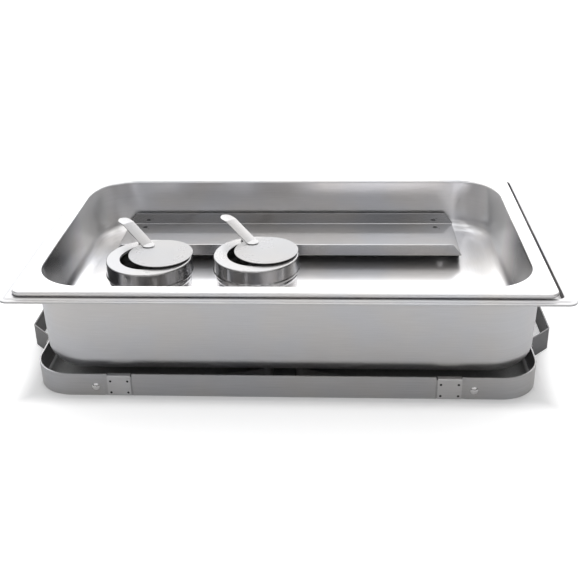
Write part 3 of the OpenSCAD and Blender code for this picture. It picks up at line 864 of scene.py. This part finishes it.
def build_lever(side):
    """A bent strip with round ends and a small raised pip, on the disc and over its pivot."""
    node = "damper_lever_" + side
    place, _ = damper_frame(side)
    end_radius = LEVER_WIDTH / 2
    knee = LEVER_FLAT + LEVER_RISE_RUN
    knee_z = LEVER_RISE_RUN * math.tan(LEVER_SLOPE)
    length = knee + LEVER_TIP_RUN
    tip_z = knee_z + LEVER_TIP_RUN * math.tan(LEVER_TIP_SLOPE)
    profile = bent_line([(0, 0, 0), (LEVER_FLAT, 0, 4 * MM), (knee, knee_z, 6 * MM), (length, tip_z, 0)], steps=10)

    def height(x):
        for a, b in zip(profile, profile[1:]):
            if x <= b[0]:
                return a[1] + (b[1] - a[1]) * (x - a[0]) / (b[0] - a[0])
        return tip_z

    rounding = [end_radius * (1 - math.cos(math.radians(a))) for a in range(0, 91, 10)]
    inside = [p[0] for p in profile if end_radius < p[0] < length - end_radius]
    stations = sorted(rounding + inside + [end_radius + (length - 2 * end_radius) * i / 8 for i in range(1, 8)]
                      + [length - x for x in rounding])
    rows = []
    for k in (-1, -0.8, -0.4, 0, 0.4, 0.8, 1):
        row = []
        for x in stations:
            past = max(end_radius - x, x - length + end_radius, 0)
            width = math.sqrt(max(0, end_radius ** 2 - past ** 2))
            row.append(Vector((x, k * width, height(x) + 0.25 * MM * (1 - k * k))))
        rows.append(row)
    bm = bmesh.new()
    skin(bm, rows)
    bmesh.ops.reverse_faces(bm, faces=bm.faces)
    seat = Matrix.Translation((LEVER_ROOT, 0, DISC_SHEET)) @ Matrix.Rotation(LEVER_SKEW, 4, "Z")
    bmesh.ops.transform(bm, matrix=place @ seat, verts=bm.verts)
    piece(node + "_strip", bm, LEVER_STEEL, [node], DISC_SHEET * 0.9)
    pip_x = LEVER_FLAT + LEVER_RISE_RUN * PIP_AT
    pip = bmesh.new()
    lathe(pip, [(0, -0.8 * MM), (PIP_RADIUS, -0.8 * MM)] + list(reversed(dome_line(PIP_RADIUS, 0.9 * MM))), Vector((0, 0)), steps=24)
    tilt = Matrix.Rotation(-LEVER_SLOPE, 4, "Y")
    spot = Matrix.Translation((pip_x, 0, height(pip_x) + 0.25 * MM))
    bmesh.ops.transform(pip, matrix=place @ seat @ spot @ tilt, verts=pip.verts)
    piece(node + "_pip", pip, RIVET_STEEL, [node], edge=0)


def build_damper_rivet(side):
    node = "damper_rivet_" + side
    low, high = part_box(node)
    head_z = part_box("damper_disc_" + side)[1].z + 0.05 * MM
    crown = [(r, head_z + z) for r, z in dome_line(STUD_HEAD, high.z - head_z)]
    line = crown + [(STUD_RADIUS, head_z), (STUD_RADIUS, low.z + 1 * MM), (STUD_RADIUS * 2, low.z + 1 * MM),
                    (STUD_RADIUS * 2, low.z + 0.5 * MM), (STUD_RADIUS * 1.6, low.z), (0, low.z)]
    bm = bmesh.new()
    lathe(bm, line, PIVOT_OF[side + "_damper_swing"], steps=48)
    bmesh.ops.reverse_faces(bm, faces=bm.faces)
    piece(node + "_stud", bm, RIVET_STEEL, [node], edge=0)


def build_washer(side):
    node = "damper_washer_" + side
    low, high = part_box(node)
    outer = (high.x - low.x) / 2
    soft = 0.25 * MM
    line = bent_line([(STUD_RADIUS + 0.1 * MM, low.z, 0), (outer, low.z, soft), (outer, high.z, soft),
                      (STUD_RADIUS + 0.1 * MM, high.z, 0), (STUD_RADIUS + 0.1 * MM, low.z, 0)], steps=3)
    bm = bmesh.new()
    lathe(bm, line, PIVOT_OF[side + "_damper_swing"], steps=48)
    # Near-black washer: painted shadow under the lever.
    piece(node + "_ring", bm, WASHER_PAINTED_SHADOW_BLACK, [node], edge=0)


# ---- Light, floor and camera ----

def build_world():
    """Soft studio: bright behind and above the object, calm and darker on the camera's side."""
    world = bpy.data.worlds.new("studio")
    bpy.context.scene.world = world
    world.use_nodes = True
    tree = world.node_tree
    shine = tree.nodes["Background"]
    place = add_node(tree, "ShaderNodeTexCoord")
    axes = add_node(tree, "ShaderNodeSeparateXYZ", Vector=place.outputs["Generated"])
    behind = ranged(tree, axes.outputs["Y"], -0.15, 0.65, 0.0, 1.0)
    rise = axes.outputs["Z"]
    front_light = ranged(tree, rise, 0.0, 0.7, 0.12, 1.0)
    aside = ranged(tree, calc(tree, "ABSOLUTE", axes.outputs["X"]), 0.45, 0.9, 1.0, 0.4)
    glow = ranged(tree, rise, 0.48, 0.64, 2.2, 2.75)
    back_light = calc(tree, "SUBTRACT", glow, ranged(tree, rise, 0.66, 0.86, 0.0, 1.3))
    level = calc(tree, "ADD", calc(tree, "MULTIPLY", back_light, behind),
                 calc(tree, "MULTIPLY", front_light, calc(tree, "SUBTRACT", 1.0, behind)))
    upright = add_node(tree, "ShaderNodeMapping", Vector=place.outputs["Generated"], Scale=(5, 5, 0.2))
    screens = add_node(tree, "ShaderNodeTexNoise", Vector=upright.outputs[0], Scale=1.0, Detail=1.0)
    contrast = ranged(tree, behind, 0.0, 1.0, 0.65, 0.03)
    swing = calc(tree, "MULTIPLY", ranged(tree, screens.outputs["Fac"], 0.38, 0.62, -1.0, 1.0), contrast)
    level = calc(tree, "MULTIPLY", level, calc(tree, "ADD", 1.0, swing))
    put(tree, shine.inputs["Color"], (1.0, 1.0, 1.0, 1))
    level = calc(tree, "MULTIPLY", level, aside)
    seen = add_node(tree, "ShaderNodeLightPath").outputs["Is Camera Ray"]
    put(tree, shine.inputs["Strength"], calc(tree, "MAXIMUM", level, calc(tree, "MULTIPLY", seen, 1.0)))


# Light that the floor adds for the camera alone outside the frame ring, so that only a faint shadow shows
FLOOR_LIFT = 0.38
FLOOR_LIFT_OVER = 25 * MM
# Painted shade: share of its own tone that the floor keeps where a pan close above covers it, inside the ring
FLOOR_PAINTED_SHADE_SHARE = 0.25
FLOOR_COVER_REACH = 60 * MM


def build_floor():
    bm = bmesh.new()
    bmesh.ops.create_grid(bm, x_segments=8, y_segments=8, size=12)
    mesh = bpy.data.meshes.new("floor")
    bm.to_mesh(mesh)
    bm.free()
    floor = bpy.data.objects.new("floor", mesh)
    bpy.context.scene.collection.objects.link(floor)
    material = bpy.data.materials.new("pale_floor")
    material.use_nodes = True
    tree = material.node_tree
    shader = tree.nodes["Principled BSDF"]
    place = add_node(tree, "ShaderNodeTexCoord")
    tooth = add_node(tree, "ShaderNodeTexNoise", Vector=place.outputs["Object"], Scale=6.0, Detail=4.0)
    pale = mixed(tree, tooth.outputs["Fac"], (0.86, 0.86, 0.865, 1), (0.88, 0.88, 0.88, 1))
    shader.inputs["Roughness"].default_value = 0.9
    shader.inputs["Specular IOR Level"].default_value = 0.1
    spot = add_node(tree, "ShaderNodeSeparateXYZ", Vector=place.outputs["Object"])
    past_x = calc(tree, "SUBTRACT", calc(tree, "ABSOLUTE", spot.outputs["X"]), RING_HIGH.x)
    past_y = calc(tree, "SUBTRACT", calc(tree, "ABSOLUTE", spot.outputs["Y"]), RING_HIGH.y)
    away = calc(tree, "MAXIMUM", past_x, past_y)
    lift = ranged(tree, away, -2 * MM, FLOOR_LIFT_OVER, 0.0, FLOOR_LIFT)
    # Painted shadow under the pan: ambient occlusion inside the ring cuts the floor's tone.
    cover = add_node(tree, "ShaderNodeAmbientOcclusion", {"samples": 8}, Distance=FLOOR_COVER_REACH)
    covered = ranged(tree, cover.outputs["AO"], 0.15, 0.7, FLOOR_PAINTED_SHADE_SHARE, 1.0)
    painted_shade_share = calc(tree, "MAXIMUM", covered, ranged(tree, away, -8 * MM, -1 * MM, 0.0, 1.0))
    pale_with_painted_shade = add_node(tree, "ShaderNodeVectorMath", {"operation": "SCALE"}, Scale=painted_shade_share)
    put(tree, pale_with_painted_shade.inputs[0], pale)
    put(tree, shader.inputs["Base Color"], pale_with_painted_shade.outputs[0])
    seen = add_node(tree, "ShaderNodeLightPath").outputs["Is Camera Ray"]
    shader.inputs["Emission Color"].default_value = (1, 1, 1, 1)
    put(tree, shader.inputs["Emission Strength"], calc(tree, "MULTIPLY", seen, lift))
    mesh.materials.append(material)


CAMERA_PLACE = Vector((0.05275, -0.94007, 0.52091))
CAMERA_PITCH = math.radians(25.617)
CAMERA_YAW = math.radians(-3.973)
CAMERA_ROLL = math.radians(-1.555)
CAMERA_LENS_MM = 56.99
CAMERA_SENSOR_MM = 36
CAMERA_SHIFT = (0.0211, -0.0374)


def build_camera():
    data = bpy.data.cameras.new("camera")
    data.lens = CAMERA_LENS_MM
    data.sensor_width = CAMERA_SENSOR_MM
    data.shift_x, data.shift_y = CAMERA_SHIFT
    data.clip_start = 0.01
    forward = Vector((math.sin(CAMERA_YAW) * math.cos(CAMERA_PITCH), math.cos(CAMERA_YAW) * math.cos(CAMERA_PITCH),
                      -math.sin(CAMERA_PITCH)))
    right = Vector((math.cos(CAMERA_YAW), -math.sin(CAMERA_YAW), 0))
    up = right.cross(forward)
    rolled_right = right * math.cos(CAMERA_ROLL) + up * math.sin(CAMERA_ROLL)
    rolled_up = up * math.cos(CAMERA_ROLL) - right * math.sin(CAMERA_ROLL)
    axes = Matrix((rolled_right, rolled_up, -forward)).transposed().to_4x4()
    camera = bpy.data.objects.new("camera", data)
    camera.matrix_world = Matrix.Translation(CAMERA_PLACE) @ axes
    bpy.context.scene.collection.objects.link(camera)
    bpy.context.scene.camera = camera


build_hoop(1, "end_hoop_right", 1.3)
build_hoop(-1, "end_hoop_left", 5.9)
build_rail(-1, "side_rail_front", 9.2)
build_rail(1, "side_rail_rear", 13.4)
for plate in ("front_left", "front_right", "rear_left", "rear_right"):
    build_splice_plate("splice_plate_" + plate)
build_handle(1, "end_handle_right", 17.6)
build_handle(-1, "end_handle_left", 21.1)
build_leg_rivets()
build_leg(1, "leg_right", 25.8)
build_leg(-1, "leg_left", 29.5)
build_water_pan()
build_food_pan()
build_shelf()
for which in ("left", "right"):
    build_cup(which)
    build_cap(which)
    build_washer(which)
    build_damper_rivet(which)
    build_disc(which)
    build_lever(which)

build_world()
build_floor()
build_camera()
bpy.context.scene.view_settings.view_transform = "Standard"
